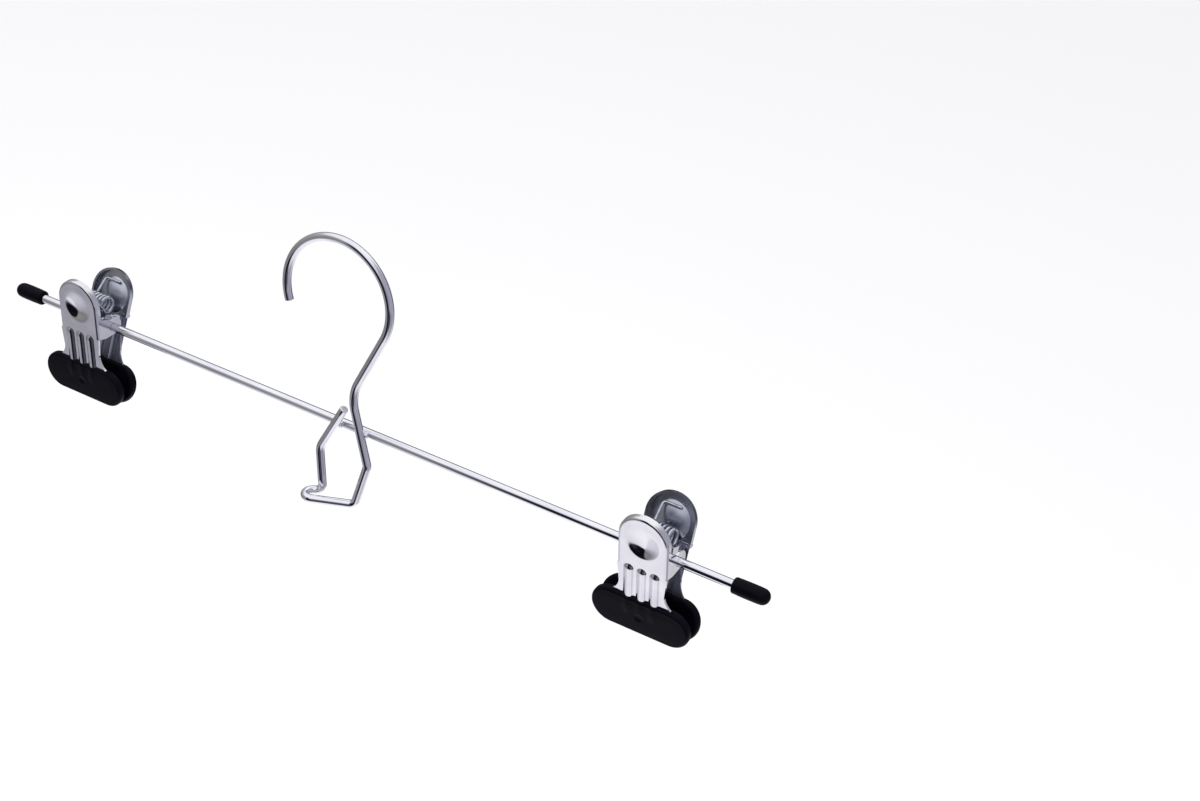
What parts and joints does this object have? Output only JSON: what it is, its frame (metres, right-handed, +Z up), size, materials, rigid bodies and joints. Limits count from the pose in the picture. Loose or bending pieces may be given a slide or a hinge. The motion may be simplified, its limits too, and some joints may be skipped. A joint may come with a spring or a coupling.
{
  "type": "skirt hanger",
  "caption": "Chromed skirt hanger: a wire rail hook with a cascade loop on a straight rod, and sprung clips with padded jaws that slide along it.",
  "frame": {"origin": "top of the inside of the hook, where it rests on the rail, at the middle of the wire's width", "axes": "+X along the rod, +Z up, +Y from the front leaves to the rear leaves, which is also the rail's direction through the hook"},
  "size_m": [0.35, 0.0272, 0.1116],
  "materials": {
    "chromed_wire": "bright chrome plate on drawn steel wire",
    "plated_sheet": "bright chrome plate on pressed steel sheet",
    "spring_wire": "zinc-plated spring steel",
    "weld_bead": "plated resistance-weld bead",
    "black_vinyl": "satin black soft vinyl"
  },
  "bodies": {
    "hanger": {"crossbar": "chromed_wire", "left_end_cap": "black_vinyl", "right_end_cap": "black_vinyl", "hook_wire": "chromed_wire", "neck_weld": "weld_bead", "tail_weld": "weld_bead"},
    "right_clip_spring": {"right_spring": "spring_wire"},
    "right_front_jaw": {"right_front_leaf": "plated_sheet", "right_front_pad": "black_vinyl"},
    "right_rear_jaw": {"right_rear_leaf": "plated_sheet", "right_rear_pad": "black_vinyl"},
    "left_clip_spring": {"left_spring": "spring_wire"},
    "left_front_jaw": {"left_front_leaf": "plated_sheet", "left_front_pad": "black_vinyl"},
    "left_rear_jaw": {"left_rear_leaf": "plated_sheet", "left_rear_pad": "black_vinyl"}
  },
  "joints": [
    {"name": "right_slide", "type": "slide", "parent": "hanger", "child": "right_clip_spring", "axis": [1, 0, 0], "range_m": [-0.099, 0.0212]},
    {"name": "right_swing", "type": "hinge", "parent": "right_clip_spring", "child": "right_front_jaw", "pos_m": [0.1391, 0.00342, -0.07505], "axis": [1, 0, 0], "continuous": true, "deforming": ["right_spring"]},
    {"name": "right_open", "type": "hinge", "parent": "right_front_jaw", "child": "right_rear_jaw", "pos_m": [0.1391, 0.00342, -0.07505], "axis": [1, 0, 0], "range_deg": [0, 36], "stiffness_Nm_per_rad": 0.15, "springref_deg": -68.75, "deforming": ["right_spring"]},
    {"name": "left_slide", "type": "slide", "parent": "hanger", "child": "left_clip_spring", "axis": [1, 0, 0], "range_m": [-0.0177, 0.093]},
    {"name": "left_swing", "type": "hinge", "parent": "left_clip_spring", "child": "left_front_jaw", "pos_m": [-0.1234, 0.00342, -0.07505], "axis": [1, 0, 0], "continuous": true, "deforming": ["left_spring"]},
    {"name": "left_open", "type": "hinge", "parent": "left_front_jaw", "child": "left_rear_jaw", "pos_m": [-0.1234, 0.00342, -0.07505], "axis": [1, 0, 0], "range_deg": [0, 36], "stiffness_Nm_per_rad": 0.15, "springref_deg": -68.75, "deforming": ["left_spring"]}
  ]
}
